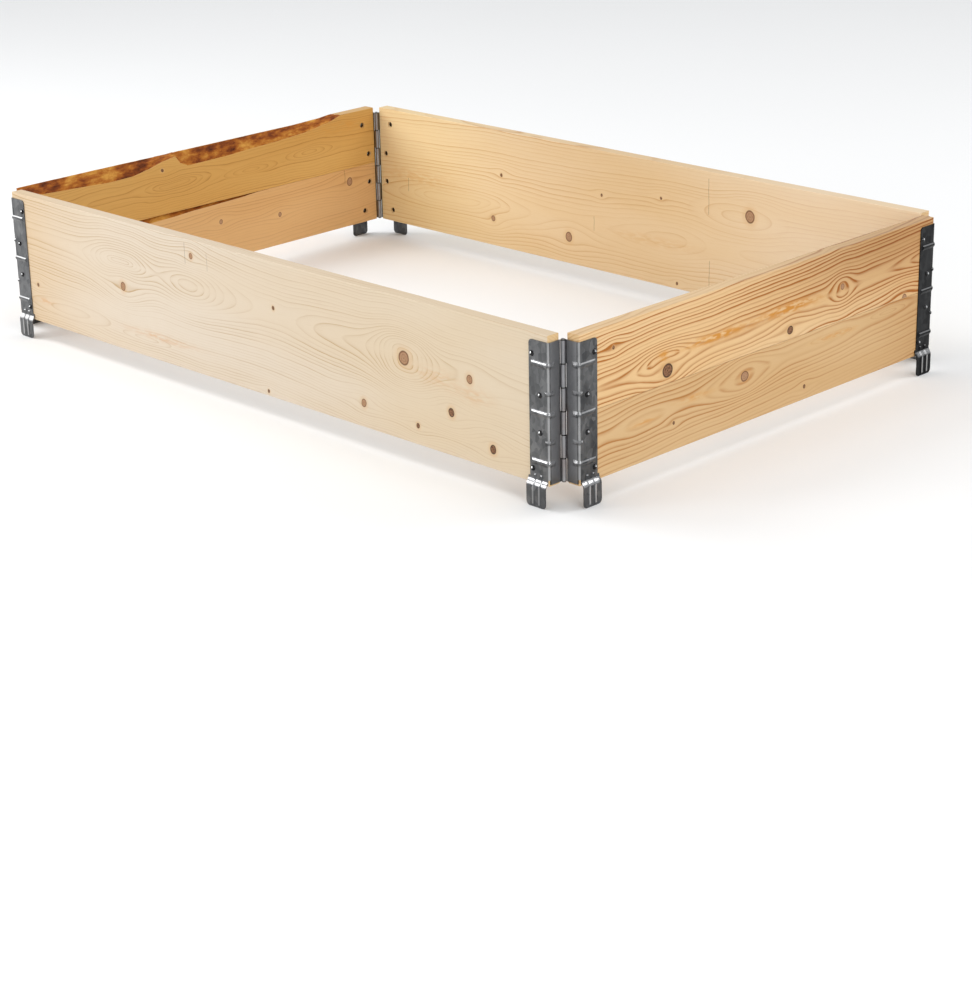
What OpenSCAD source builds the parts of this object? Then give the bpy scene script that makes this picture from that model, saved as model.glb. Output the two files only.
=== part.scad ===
// Hinged wooden pallet collar.
// Four board walls are joined at the corners by pressed steel hinges, so the ring folds flat either way.
// Each hinge leaf runs on below its wall as a lug that holds the collar on the one beneath it.
// Millimetres, +Z up. The origin is under the middle of the ring, level with the lug tips.

/* [Boards] */
// Outside length of the wooden ring
collar_length = 1200; // [900:1:1400]
// Outside width of the wooden ring
collar_width = 800; // [500:1:1200]
// Height of a wall
board_height = 200; // [190:1:260]
// Thickness of the boards
board_thickness = 20; // [16:0.5:26]
// Height of the upper board in a short wall
upper_board_height = 105; // [95:1:110]
// Height of the upper board in the left wall, whose seam lies higher
left_upper_height = 98; // [95:1:110]
// Rounding of the long edges of a board
arris_radius = 1.2; // [0.5:0.1:4]

/* [Bark edges] */
// Deepest drop of the left upper board's bark edge, at the inner face
bark_drop = 27; // [16:1:30]
// Drop of the same edge at the outer face
bark_crown = 4; // [1:0.5:8]
// Deepest drop of the left lower board's bark edge, at the inner face
low_bark_drop = 11; // [5:0.5:14]
// Width of the same edge across the board
low_bark_width = 10; // [5:0.5:14]
// Bulge of a bark edge between its two sides
bark_bulge = 1.5; // [0:0.1:2.5]

/* [Hinge leaf] */
// Thickness of the steel sheet
sheet = 1.25; // [1:0.05:1.5]
// Width of the flange on the outer face of a wall
flange_width = 33.5; // [31:0.5:45]
// Drop of the leaf's top edge below the top of the wall
leaf_drop = 9; // [4:0.5:14]
// Rise of the return's lower edge above the bottom of the wall
return_lift = 2.5; // [1:0.1:6]
// Outer radius of the fold between flange and return
fold_radius = 3; // [2.2:0.1:4]
// Gap between the return and the end of the board
end_gap = 0.7; // [0.3:0.1:4]
// Radius of the flange's free top corner
top_corner_radius = 5; // [2:0.5:8]

/* [Knuckles and pin] */
// Number of knuckles in one hinge, shared by its two leaves
knuckle_count = 6; // [4:2:8]
// Gap between neighbouring knuckles
knuckle_gap = 0.6; // [0.3:0.1:1.5]
// Depth of the notch that clears the other leaf's knuckles, from the pin's axis
notch_depth = 3.4; // [3.3:0.1:8]
// Diameter of the hinge pin
pin_diameter = 4.5; // [4:0.1:4.8]
// Radial clearance of the pin in the knuckles
pin_clearance = 0.05; // [0.02:0.01:0.1]
// Distance of the pin's axis inside the inner faces of the boards
pin_inset = 3.8; // [3.8:0.1:8]
// Radius of the upset heads at the pin's ends
pin_head_radius = 2.9; // [2.8:0.1:3.2]
// Height of the upset heads at the pin's ends
pin_head_height = 0.9; // [0.5:0.1:1.2]

/* [Pressed ribs] */
// Width of a main rib
rib_width = 11; // [8:0.5:12]
// Width of a rib's flat crest
rib_crest = 2; // [1:0.1:4]
// Height of a main rib above the sheet
rib_rise = 1.8; // [1:0.1:1.9]
// Gap between the top rib and the rivet above it
top_rib_gap = 3; // [1:0.5:6]
// Gap between the bottom rib and the rivet below it
bottom_rib_gap = 1; // [0.5:0.5:4]
// Distance of the ribs from the flange's free edge
rib_margin = 3; // [2:0.5:6]
// Length of the ribs along the return
rib_return_length = 12; // [8:0.5:15]
// Width of a short rib across the fold
short_rib_width = 8; // [6:0.5:10]
// Height of a short rib above the sheet
short_rib_rise = 1.6; // [1:0.1:1.9]
// Reach of a short rib from the fold along the flange
short_rib_reach = 7; // [6:0.5:9]
// Distance of a short rib above the main rib below it
short_rib_lift = 28; // [24:1:32]

/* [Stacking lug] */
// Length of the lug below the wall
lug_drop = 30; // [24:0.5:36]
// Outward step of the lug
lug_step = 4.5; // [4.2:0.1:6]
// Height of the step's curve
step_height = 13; // [8:0.5:14]
// Rise of the step's lower end above the bottom of the wall
step_lift = -4; // [-4:0.5:0]
// Width of the lug beyond the flange's free edge
lug_overhang = 3; // [0.5:0.5:5]
// Radius of the lug's lower corners
lug_corner_radius = 6; // [3:0.5:9]
// Width of the lug's beads
bead_width = 6; // [5:0.1:7]
// Width of a bead's flat crest
bead_crest = 1.6; // [1:0.1:3]
// Height of the beads above the sheet
bead_rise = 1.5; // [1:0.1:2]
// Length of the beads above the step, on the flange
bead_flange_length = 5.5; // [5:0.5:8]
// Distance of the first bead from the flange's free edge
first_bead_margin = 9; // [8:0.5:11]
// Distance between the two beads
bead_spacing = 11; // [8.5:0.5:13]

/* [Rivets] */
// Diameter of the rivet shank
rivet_diameter = 4.4; // [3.5:0.1:5]
// Radial clearance of the shank in its hole
rivet_clearance = 0.05; // [0.02:0.01:0.2]
// Diameter of the domed head
head_diameter = 8; // [6.5:0.1:8.4]
// Height of the domed head
head_height = 2.5; // [1.5:0.1:2.8]
// Diameter of the clinched tail
tail_diameter = 8; // [7:0.1:9]
// Thickness of the clinched tail
tail_thickness = 1.2; // [0.8:0.1:1.5]
// Diameter of the hollow in the tail
tail_hollow = 2.8; // [2:0.1:3]
// Diameter of the sunk seat for the tail
seat_diameter = 10; // [9.4:0.1:12]
// Depth of the sunk seat for the tail
seat_depth = 2; // [1.6:0.1:3]
// Distance of the outer rivets from the flange's free edge
rivet_edge_margin = 5; // [4.5:0.5:7]
// Distance of the inner rivets from the fold
rivet_fold_margin = 15; // [14:0.5:16]
// Distance of the top rivet below the top of the wall
top_rivet_drop = 27; // [25:0.5:28]
// Distance of the bottom rivet above the bottom of the wall
bottom_rivet_lift = 20; // [18:0.5:21]
// Distance of the inner rivets from the seam of the short walls
seam_rivet_offset = 25; // [20:0.5:28]

/* [Hidden] */
$fn = 64;

// Ends and sides of the ring, as signs along X and Y
LEFT = -1;
RIGHT = 1;
FRONT = -1;
BACK = 1;

// Length by which a cutter runs past what it cuts
over = 1;

// Pin and knuckle, seen from above with the pin's axis at the origin
pin_radius = pin_diameter / 2;
bore_radius = pin_radius + pin_clearance;
knuckle_radius = bore_radius + sheet;
face_offset = board_thickness + pin_inset;
pin_x = collar_length / 2 - face_offset;
pin_y = collar_width / 2 - face_offset;

// Heights above the bottom of the wall
leaf_top = board_height - leaf_drop;
seam_level = board_height - upper_board_height;
left_seam_level = board_height - left_upper_height;
knuckle_pitch = (leaf_top - return_lift) / knuckle_count;
step_top = step_lift + step_height;
rivet_rib_pitch = (head_diameter + rib_width) / 2;
top_rib = board_height - top_rivet_drop - rivet_rib_pitch - top_rib_gap;
bottom_rib = bottom_rivet_lift + rivet_rib_pitch + bottom_rib_gap;
main_rib_levels = [bottom_rib, (bottom_rib + top_rib) / 2, top_rib];
short_rib_levels = [for (row = [0:1]) main_rib_levels[row] + short_rib_lift];

// The leaf in plan: its fold, its flange's outer face and its free edge.
// The return curls round the pin, a little closer to the axis than a tangent.
curl_tuck = 0.25;
fold_x = bore_radius - curl_tuck;
board_end = fold_x + sheet + end_gap;
short_length = 2 * (pin_y - board_end);
flange_face = face_offset + sheet;
end_radius = fold_radius - sheet;
free_edge = fold_x + flange_width;

// Curve of the step, two equal arcs of the sheet's middle line
step_radius = (step_height * step_height + lug_step * lug_step) / (4 * lug_step);
step_angle = 2 * atan(lug_step / step_height);
step_facets = 6;
bead_shift = 0.5;
shift_margin = 0.25;

// The lug's outline
lug_near = fold_x + fold_radius;
lug_width = free_edge + lug_overhang - lug_near;
bead_places = [free_edge - first_bead_margin, free_edge - first_bead_margin - bead_spacing];
bead_end_margin = 2;

// Pressed ridges: how far an end's crest stays under the sheet's surface, and how long an end is for its height
ridge_sink = sheet / 4;
ridge_slope = 1.8;
fold_facets = 4;
quarter_turn = 90;

// Rivet places in plan and height
outer_rivet = free_edge - rivet_edge_margin;
inner_rivet = fold_x + rivet_fold_margin;
upper_rivets = [
    [outer_rivet, board_height - top_rivet_drop],
    [inner_rivet, seam_level + seam_rivet_offset]
];
lower_rivets = [
    [inner_rivet, seam_level - seam_rivet_offset],
    [outer_rivet, bottom_rivet_lift]
];
all_rivets = concat(upper_rivets, lower_rivets);
rivet_radius = rivet_diameter / 2;
hole_radius = rivet_radius + rivet_clearance;
hollow_depth = 4;

// Bark edges of the left wall's boards, from the front end: shares of the length, of the drop and of the crown.
// A share below zero lies above the board, where the edge has run out.
upper_bark = [
    [0, 0.6, 1], [0.11, 0.74, 1], [0.22, 0.89, 1], [0.285, 0.86, 1], [0.325, 0.66, 1], [0.37, 0.36, 1],
    [0.405, 0.22, 1], [0.42, 0.72, 1], [0.44, 0.97, 1], [0.55, 0.93, 1], [0.63, 0.82, 1], [0.7, 0.75, 1],
    [0.78, 0.62, 1], [0.86, 0.3, 0.5], [0.91, -0.1, -0.5]
];
lower_bark = [[0, 1, 0], [0.25, 0.95, 0], [0.38, 0.74, 0], [0.45, 0.5, 0], [0.57, 0.3, 0], [0.66, -0.1, 0]];
bark_cover = 8;

// Moves a shape made for the right end of the front wall to another corner.
// That shape has the pin's axis at the origin, its wall along -X and its outer face towards -Y.
module corner(end, side) {
    translate([end * pin_x, side * pin_y, lug_drop])
        mirror([end == LEFT ? 1 : 0, 0, 0])
            mirror([0, side == BACK ? 1 : 0, 0])
                children();
}

// Moves the same shape to a short wall, which runs along Y
module short_corner(end, side) {
    corner(end, side) mirror([1, 1, 0]) children();
}

// Section of a board, lying along its length, with rounded long edges
module board_section(height) {
    inner_thickness = board_thickness - 2 * arris_radius;
    inner_height = height - 2 * arris_radius;
    translate([0, arris_radius]) square([board_thickness, inner_height]);
    translate([arris_radius, 0]) square([inner_thickness, height]);
    for (across = [arris_radius, board_thickness - arris_radius])
        for (level = [arris_radius, height - arris_radius])
            translate([across, level]) circle(r = arris_radius);
}

// A board with its outer face on the plane y = 0, its inner face behind it and its middle at x = 0
module plain_board(length, height) {
    rotate([90, 0, 90])
        translate([0, 0, -length / 2])
            linear_extrude(length) board_section(height);
}

// Rivet hole through a wall with its sunk seat on the inner face
module rivet_cut(place) {
    translate([-place[0], -face_offset, place[1]]) rotate([-90, 0, 0]) {
        translate([0, 0, -sheet - over]) cylinder(r = hole_radius, h = board_thickness + sheet + 2 * over);
        translate([0, 0, board_thickness - seat_depth]) cylinder(d = seat_diameter, h = seat_depth + over);
    }
}

// Rounds the outer upright edge at the end of a board, where it lies inside the leaf's fold
module end_edge_cut() {
    translate([-board_end, -face_offset, -over])
        linear_extrude(board_height + 2 * over)
            difference() {
                translate([-end_radius, -over]) square(end_radius + over);
                translate([-end_radius, end_radius]) circle(r = end_radius);
            }
}

module long_board(side) {
    difference() {
        mirror([0, side == BACK ? 1 : 0, 0])
            translate([0, -collar_width / 2, lug_drop])
                plain_board(2 * (pin_x - board_end), board_height);
        for (end = [LEFT, RIGHT]) corner(end, side) {
            end_edge_cut();
            for (place = all_rivets) rivet_cut(place);
        }
    }
}

// A board of a short wall. Children are cut from it in the board's own place.
module short_board(end, level, height, places) {
    difference() {
        mirror([end == LEFT ? 1 : 0, 0, 0])
            translate([collar_length / 2, 0, lug_drop + level])
                rotate([0, 0, 90])
                    difference() {
                        plain_board(short_length, height);
                        children();
                    }
        for (side = [FRONT, BACK]) short_corner(end, side) {
            end_edge_cut();
            for (place = places) rivet_cut(place);
        }
    }
}

// A solid through sections of equal length, each a ring of points that its first point sees whole
module loft(sections) {
    count = len(sections[0]);
    last = len(sections) - 1;
    end = count * last;
    sides = [for (i = [0:last - 1], k = [0:count - 1]) let (a = count * i + k, b = count * i + (k + 1) % count)
        each [[a, b, b + count], [a, b + count, a + count]]];
    caps = [for (k = [1:count - 2]) each [[k + 1, k, 0], [end, end + k, end + k + 1]]];
    polyhedron([for (section = sections) each section], concat(sides, caps));
}

// Cutter for a bark edge along the top inner edge of a board, as wide as given across the board's thickness
module bark_cut(profile, top, drop, crown, width) {
    inside = board_thickness + over;
    outside = board_thickness - width - over;
    loft([for (row = profile) let (
        along = (row[0] - 0.5) * short_length - (row[0] == 0 ? over : 0),
        low = top - drop * row[1],
        high = top - crown * row[2],
        slope = (high - low) / width,
        middle = (low + high) / 2 + bark_bulge * max(row[1], 0)
    ) [
        [along, board_thickness - width / 2, middle],
        [along, outside, high + slope * over],
        [along, outside, top + bark_cover],
        [along, inside, top + bark_cover],
        [along, inside, low - slope * over]
    ]]);
}

// Quarter ring of the fold between flange and return
module fold_section() {
    translate([-fold_x - fold_radius, fold_radius - flange_face])
        intersection() {
            difference() {
                circle(r = fold_radius);
                circle(r = fold_radius - sheet);
            }
            translate([0, -fold_radius]) square(fold_radius);
        }
}

module flange_section() {
    translate([-free_edge, -flange_face]) square([flange_width - fold_radius, sheet]);
    fold_section();
}

module return_section() {
    translate([-fold_x - sheet, fold_radius - flange_face])
        square([sheet, flange_face - fold_radius]);
}

// Rounds the flange's free top corner
module top_corner_cut() {
    translate([-free_edge, -face_offset + over, leaf_top])
        rotate([90, 0, 0])
            linear_extrude(sheet + 2 * over)
                difference() {
                    translate([-over, -top_corner_radius]) square(top_corner_radius + over);
                    translate([top_corner_radius, -top_corner_radius]) circle(r = top_corner_radius);
                }
}

// A line that follows the stepped sheet in section at a distance from its middle, outward positive.
// It runs from the step's top to its bottom, as distance from the wall's face against height.
// Its points can be shifted along the curve by part of a facet.
function step_line(offset, shift) = let (
    upper = step_radius - offset,
    lower = step_radius + offset,
    upper_centre = sheet / 2 + step_radius,
    lower_centre = sheet / 2 + lug_step - step_radius
) concat(
    [for (i = [shift:step_facets - shift_margin]) let (turn = step_angle * i / step_facets)
        [upper_centre - upper * cos(turn), step_top - upper * sin(turn)]],
    [for (i = [step_facets - shift:-1:0]) let (turn = step_angle * i / step_facets)
        [lower_centre + lower * cos(turn), step_lift + lower * sin(turn)]]
);

function reversed(points) = [for (i = [len(points) - 1:-1:0]) points[i]];

// Section of step and lug: distance outward from the wall's face against height
module lug_section() {
    polygon(concat(
        step_line(sheet / 2, 0),
        [[lug_step + sheet, -lug_drop], [lug_step, -lug_drop]],
        reversed(step_line(-sheet / 2, 0))
    ));
}

// Outline of the lug seen from outside, with rounded lower corners
module lug_outline() {
    rise = lug_drop + step_top;
    translate([0, lug_corner_radius]) square([lug_width, rise - lug_corner_radius + over]);
    translate([lug_corner_radius, 0]) square([lug_width - 2 * lug_corner_radius, lug_corner_radius + over]);
    for (across = [lug_corner_radius, lug_width - lug_corner_radius])
        translate([across, lug_corner_radius]) circle(r = lug_corner_radius);
}

module lug_plate() {
    intersection() {
        translate([-lug_near, -face_offset, 0])
            rotate([90, 0, -90])
                linear_extrude(lug_width) lug_section();
        translate([-lug_near - lug_width, -face_offset + over, -lug_drop])
            rotate([90, 0, 0])
                linear_extrude(lug_step + sheet + 2 * over) lug_outline();
    }
}

// A pressed ridge with sloping sides, swept along stations in the XY plane with its width along Z.
// Each station holds the ridge's foot, inside the sheet, and its crest. The crest is wider where it is lower.
module ridge(stations, foot_width, crest_width) {
    heights = [for (station = stations) norm(station[1] - station[0])];
    taper = (foot_width - crest_width) / max(heights);
    loft([for (i = [0:len(stations) - 1])
        let (foot = stations[i][0], crest = stations[i][1], half = (foot_width - taper * heights[i]) / 2)
        [
            [foot[0], foot[1], -foot_width / 2],
            [crest[0], crest[1], -half],
            [crest[0], crest[1], half],
            [foot[0], foot[1], foot_width / 2]
        ]]);
}

// Stations of a rib on the flange, round the fold and on the return, with the crest at a lift above the sheet
function flange_station(place, lift) = [[-place, sheet / 2 - flange_face], [-place, -flange_face - lift]];
function return_station(place, lift) = [[-fold_x - sheet / 2, place - flange_face], [lift - fold_x, place - flange_face]];
function fold_station(turn, lift) = let (
    centre = [-fold_x - fold_radius, fold_radius - flange_face],
    way = [sin(turn), -cos(turn)]
) [centre + way * (fold_radius - sheet / 2), centre + way * (fold_radius + lift)];

// Pressed rib that runs along the flange, round the fold and on along the return
module rib(level, width, rise, reach) {
    slope = ridge_slope * rise;
    stations = concat(
        [flange_station(fold_x + reach, -ridge_sink), flange_station(fold_x + reach - slope, rise)],
        [for (i = [0:fold_facets]) fold_station(quarter_turn * i / fold_facets, rise)],
        [return_station(rib_return_length - slope, rise), return_station(rib_return_length, -ridge_sink)]
    );
    translate([0, 0, level]) ridge(stations, width, rib_crest);
}

// One bead, down the flange, over the step and on down the lug
module bead(place) {
    slope = ridge_slope * bead_rise;
    flange_end = step_top + bead_flange_length;
    lug_end = bead_end_margin - lug_drop;
    foot = step_line(0, bead_shift);
    crest = step_line(sheet / 2 + bead_rise, bead_shift);
    lug_middle = lug_step + sheet / 2;
    stations = concat(
        [[[sheet / 2, flange_end], [sheet - ridge_sink, flange_end]]],
        [[[sheet / 2, flange_end - slope], [sheet + bead_rise, flange_end - slope]]],
        [for (i = [0:len(foot) - 1]) [foot[i], crest[i]]],
        [[[lug_middle, lug_end + slope], [lug_step + sheet + bead_rise, lug_end + slope]]],
        [[[lug_middle, lug_end], [lug_step + sheet - ridge_sink, lug_end]]]
    );
    translate([-place, -face_offset, 0])
        rotate([90, 0, -90])
            ridge(reversed(stations), bead_width, bead_crest);
}

// Knuckles of one leaf: the high leaf has the topmost one, the low leaf the next
module knuckles(high) {
    for (row = [(high ? 0 : 1):2:knuckle_count - 1])
        translate([0, 0, leaf_top - (row + 1) * knuckle_pitch + knuckle_gap / 2])
            cylinder(r = knuckle_radius, h = knuckle_pitch - knuckle_gap);
}

// Notches in the return beside the other leaf's knuckles
module notches(high) {
    for (row = [(high ? 1 : 0):2:knuckle_count - 1])
        translate([-knuckle_radius - over, -notch_depth, leaf_top - (row + 1) * knuckle_pitch - knuckle_gap / 2])
            cube([knuckle_radius + 2 * over, notch_depth + over, knuckle_pitch + knuckle_gap]);
}

// A whole hinge leaf, as on the right end of the front wall
module leaf(high) {
    difference() {
        union() {
            translate([0, 0, step_top]) linear_extrude(leaf_top - step_top) flange_section();
            translate([0, 0, return_lift]) linear_extrude(leaf_top - return_lift) return_section();
            lug_plate();
            for (level = main_rib_levels) rib(level, rib_width, rib_rise, flange_width - rib_margin);
            for (level = short_rib_levels) rib(level, short_rib_width, short_rib_rise, short_rib_reach);
            for (place = bead_places) bead(place);
        }
        notches(high);
        top_corner_cut();
        for (place = all_rivets) rivet_cut(place);
        translate([0, 0, -over]) cylinder(r = bore_radius, h = leaf_top + 2 * over);
    }
    difference() {
        knuckles(high);
        translate([0, 0, -over]) cylinder(r = bore_radius, h = leaf_top + 2 * over);
    }
}

// Wire pin with an upset head at each end, clear of the leaves by the pin's clearance
module hinge_pin() {
    low = return_lift - pin_clearance;
    high = leaf_top + pin_clearance;
    translate([0, 0, low]) cylinder(r = pin_radius, h = high - low);
    translate([0, 0, low - pin_head_height])
        cylinder(r1 = pin_radius, r2 = pin_head_radius, h = pin_head_height);
    translate([0, 0, high])
        cylinder(r1 = pin_head_radius, r2 = pin_radius, h = pin_head_height);
}

// Domed head of a rivet, standing on the plane z = 0 along -Z
module rivet_head() {
    dome_radius = (head_height * head_height + head_diameter * head_diameter / 4) / (2 * head_height);
    mirror([0, 0, 1])
        rotate_extrude()
            intersection() {
                translate([0, head_height - dome_radius]) circle(r = dome_radius);
                square([head_diameter / 2, head_height]);
            }
}

// One rivet along +Z from the flange's face into the wall, with its clinched hollow tail in the sunk seat
module rivet() {
    tail_top = sheet + board_thickness - seat_depth + tail_thickness;
    rivet_head();
    difference() {
        union() {
            cylinder(r = rivet_radius, h = tail_top);
            translate([0, 0, tail_top - tail_thickness])
                cylinder(d1 = tail_diameter, d2 = rivet_diameter, h = tail_thickness);
        }
        translate([0, 0, tail_top - hollow_depth]) cylinder(d = tail_hollow, h = hollow_depth + over);
    }
}

module rivet_group() {
    for (place = all_rivets)
        translate([-place[0], -flange_face, place[1]]) rotate([-90, 0, 0]) rivet();
}

module front_board() { color("wheat") long_board(FRONT); }
module back_board() { color("burlywood") long_board(BACK); }
module left_upper_board() {
    color("tan")
        short_board(LEFT, left_seam_level, left_upper_height, upper_rivets)
            bark_cut(upper_bark, left_upper_height, bark_drop, bark_crown, board_thickness);
}
module left_lower_board() {
    color("burlywood")
        short_board(LEFT, 0, left_seam_level, lower_rivets)
            bark_cut(lower_bark, left_seam_level, low_bark_drop, 0, low_bark_width);
}
module right_upper_board() { color("tan") short_board(RIGHT, seam_level, upper_board_height, upper_rivets); }
module right_lower_board() { color("burlywood") short_board(RIGHT, 0, seam_level, lower_rivets); }

module front_leaf_left() { color("dimgray") corner(LEFT, FRONT) leaf(true); }
module front_leaf_right() { color("dimgray") corner(RIGHT, FRONT) leaf(false); }
module back_leaf_left() { color("dimgray") corner(LEFT, BACK) leaf(true); }
module back_leaf_right() { color("dimgray") corner(RIGHT, BACK) leaf(false); }
module left_leaf_front() { color("dimgray") short_corner(LEFT, FRONT) leaf(false); }
module left_leaf_back() { color("dimgray") short_corner(LEFT, BACK) leaf(false); }
module right_leaf_front() { color("dimgray") short_corner(RIGHT, FRONT) leaf(true); }
module right_leaf_back() { color("dimgray") short_corner(RIGHT, BACK) leaf(true); }

module hinge_pin_front_left() { color("silver") corner(LEFT, FRONT) hinge_pin(); }
module hinge_pin_front_right() { color("silver") corner(RIGHT, FRONT) hinge_pin(); }
module hinge_pin_back_left() { color("silver") corner(LEFT, BACK) hinge_pin(); }
module hinge_pin_back_right() { color("silver") corner(RIGHT, BACK) hinge_pin(); }

module rivets_front_left() { color("gray") corner(LEFT, FRONT) rivet_group(); }
module rivets_front_right() { color("gray") corner(RIGHT, FRONT) rivet_group(); }
module rivets_back_left() { color("gray") corner(LEFT, BACK) rivet_group(); }
module rivets_back_right() { color("gray") corner(RIGHT, BACK) rivet_group(); }
module rivets_left_front() { color("gray") short_corner(LEFT, FRONT) rivet_group(); }
module rivets_left_back() { color("gray") short_corner(LEFT, BACK) rivet_group(); }
module rivets_right_front() { color("gray") short_corner(RIGHT, FRONT) rivet_group(); }
module rivets_right_back() { color("gray") short_corner(RIGHT, BACK) rivet_group(); }

front_board();
back_board();
left_upper_board();
left_lower_board();
right_upper_board();
right_lower_board();
front_leaf_left();
front_leaf_right();
back_leaf_left();
back_leaf_right();
left_leaf_front();
left_leaf_back();
right_leaf_front();
right_leaf_back();
hinge_pin_front_left();
hinge_pin_front_right();
hinge_pin_back_left();
hinge_pin_back_right();
rivets_front_left();
rivets_front_right();
rivets_back_left();
rivets_back_right();
rivets_left_front();
rivets_left_back();
rivets_right_front();
rivets_right_back();
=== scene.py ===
"""Looks of the hinged wooden pallet collar: wood, bark, steel, light, floor and camera."""
import math
from dataclasses import dataclass, field, replace

import bpy
from mathutils import Matrix, Vector

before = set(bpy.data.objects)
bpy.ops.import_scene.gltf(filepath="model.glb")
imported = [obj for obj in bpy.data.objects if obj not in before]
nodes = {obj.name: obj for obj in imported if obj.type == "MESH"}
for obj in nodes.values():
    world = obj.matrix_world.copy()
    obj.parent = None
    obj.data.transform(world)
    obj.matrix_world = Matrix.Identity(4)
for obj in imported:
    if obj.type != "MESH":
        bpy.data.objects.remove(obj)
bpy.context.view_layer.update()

# The ring in millimetres, which the grain is laid out in
MM = 1000.0
RING_TOP = 230.0
THICKNESS = 20.0
HALF_LENGTH = 600.0
HALF_WIDTH = 400.0
RUN_X = (1.0, 0.0, 0.0)
RUN_Y = (0.0, 1.0, 0.0)
UP = (0.0, 0.0, 1.0)

# Noise on a board: cell length along it, cell width across it, and the slice of the noise
SLOW_CELLS = (420.0, 130.0, 0.0)
QUICK_CELLS = (70.0, 18.0, 3.0)
FIBRE_CELLS = (26.0, 0.7, 5.0)
FADE_CELLS = (300.0, 60.0, 7.0)
BROAD_CELLS = (500.0, 110.0, 11.0)
RAGGED_CELLS = (18.0, 5.0, 13.0)
FLAKE_CELLS = (34.0, 15.0, 17.0)
DRIFT_CELLS = (300.0, 4000.0, 19.0)
MOTTLE_CELLS = (2.6, 2.6, 23.0)
PATCH_CELLS = (90.0, 300.0, 29.0)
MIDDLE_NOISE = 0.5
FIBRE_DETAIL = dict(detail=3.0, roughness=0.6)
FLAKE_DETAIL = dict(detail=6.0, roughness=0.66)
MOTTLE_DETAIL = dict(detail=3.0)

# How the grain shifts with the depth in the board, wobbles and parts round a knot
LEAN_ALONG = 0.7
LEAN_UP = 0.4
WOBBLE_ALONG = 0.8
WOBBLE_UP = 0.6
KNOT_REACH_ALONG = 1.8
FAR_RIM = 9.0
CLOSEST_PITH = 2.0

# Year lines: the tone over one year, and the ranges that make them uneven
RING_TONES = [(0.0, 0.0), (0.55, 0.06), (0.82, 0.34), (0.93, 1.0), (1.0, 0.0)]
BROAD_TONES = [(0.0, 0.0), (0.42, 0.04), (0.66, 0.50), (0.79, 1.0), (0.91, 0.50), (1.0, 0.0)]
DRIFT_RANGE = (0.25, 0.75)
UNEVEN_CELL = 26.0
UNEVEN_YEARS = 1.6
YEAR_STRENGTH = (0.0, 1.0, 0.25, 1.0)
FADE_RANGE = (0.3, 0.65)
STEEP_FADE = (0.0, 0.4, 0.25, 1.0)
FLAME_EDGE = (1.25, 0.9)
FLAME_STRENGTH = 0.5

# Colours of the wood, and the ranges over which they come in
ORANGE = (0.62, 0.27, 0.045)
KNOT_HALO = (0.66, 0.40, 0.18)
SCRATCH_DARK = (0.10, 0.055, 0.03)
SCRATCH_DEPTH = 0.5
END_GRAIN = (0.72, 0.50, 0.26)
END_LINES = 0.5
# A darker greyer tan on the boards' upward faces
UPWARD_FACE_TONE = (0.53, 0.41, 0.27)
BROAD_RANGE = (0.3, 0.7)
FIBRE_SHADE = (0.5, 0.85, 0.0, 0.22)
RAGGED_RANGE = (0.35, 0.6)
HALO_RANGE = (2.4, 0.9)
HEART_RANGE = (1.15, 0.95)
HEART_SCALE = 0.5
HEART_RINGS = [(0.0, 1.0), (0.06, 0.0), (0.20, 0.0), (0.25, 1.0 / 3.0),
               (0.30, 0.0), (0.38, 0.0), (0.46, 1.0)]
MOTTLE_RANGE = (0.35, 0.7)
END_RANGE = (0.55, 0.8)
EDGE_SHADE = (0.6, 0.95, 0.0, 0.4)
WOOD_ROUGHNESS = (0.2, 0.8, 0.52, 0.72)
WOOD_SPECULAR = 0.25
WOOD_BUMP = dict(strength=0.2, distance=0.0003)

# Bark: its colours, its patches and how far it stays off the sawn faces
BARK_TONES = [(0.30, (0.06, 0.011, 0.002)), (0.42, (0.20, 0.045, 0.005)),
              (0.53, (0.36, 0.11, 0.012)), (0.68, (0.58, 0.28, 0.05))]
BARK_PATCHES = 0.6
BARK_ROUGHNESS = 0.9
BARK_RELIEF = 4.0
BARK_MARGIN = 0.25
BARK_OUTER_MARGIN = 0.4

# Colours of the steel
# Light grey on the returns and barrel: painted light on the shaded inner V
RETURN_PAINTED_LIGHT = (0.40, 0.40, 0.41)
TAIL_STEEL = (0.085, 0.066, 0.046)
# Near white: painted highlight on ribs, step, beads and rivet crowns, partly wear along the folds
WEAR_AND_HIGHLIGHT_STEEL = (0.74, 0.74, 0.74)
RUST = (0.16, 0.075, 0.035)
# Near black: painted shade in the knuckle gaps and the crease beside the barrel
GAP_PAINTED_SHADE = (0.014, 0.012, 0.010)

# Noise on the steel: cell height and cell width, and how the tones come from it
CRYSTAL_CELLS = (9.0, 6.0)
CLOUD_CELLS = (45.0, 22.0)
RUB_CELLS = (30.0, 1.6)
CLOUD_DETAIL = 4.0
RUB_DETAIL = 3.0
GREY = (0.33, 0.33, 0.33)
CRYSTAL_SHARE = 0.35
CLOUD_SHARE = 0.65
TONE_RANGE = (0.3, 0.7)
RUB_SHADE = (0.62, 0.8, 0.0, 0.35)
ROUGH_RANGE = (0.25, 0.75)
RUB_RELIEF = 0.3
STEEL_BUMP = dict(strength=0.08, distance=0.0005)

# Where a leaf's flange, fold and pin lie, from the outer face and the end of its wall
SHEET = 1.25
FOLD_INSET = 26.73
FOLD_PROUD = 0.37
PIN_INSET = 23.8

# A leaf's levels and its row of knuckles
STEP_TOP = 41.0
LEAF_TOP = 221.0
KNUCKLE_ROW = 188.5
KNUCKLE_COUNT = 6
KNUCKLE_PITCH = KNUCKLE_ROW / KNUCKLE_COUNT
KNUCKLE_RADIUS = 3.55

# Bands on a leaf, outwards from its flange, and along from its fold
OUTER_FROM = -3.0
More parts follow.
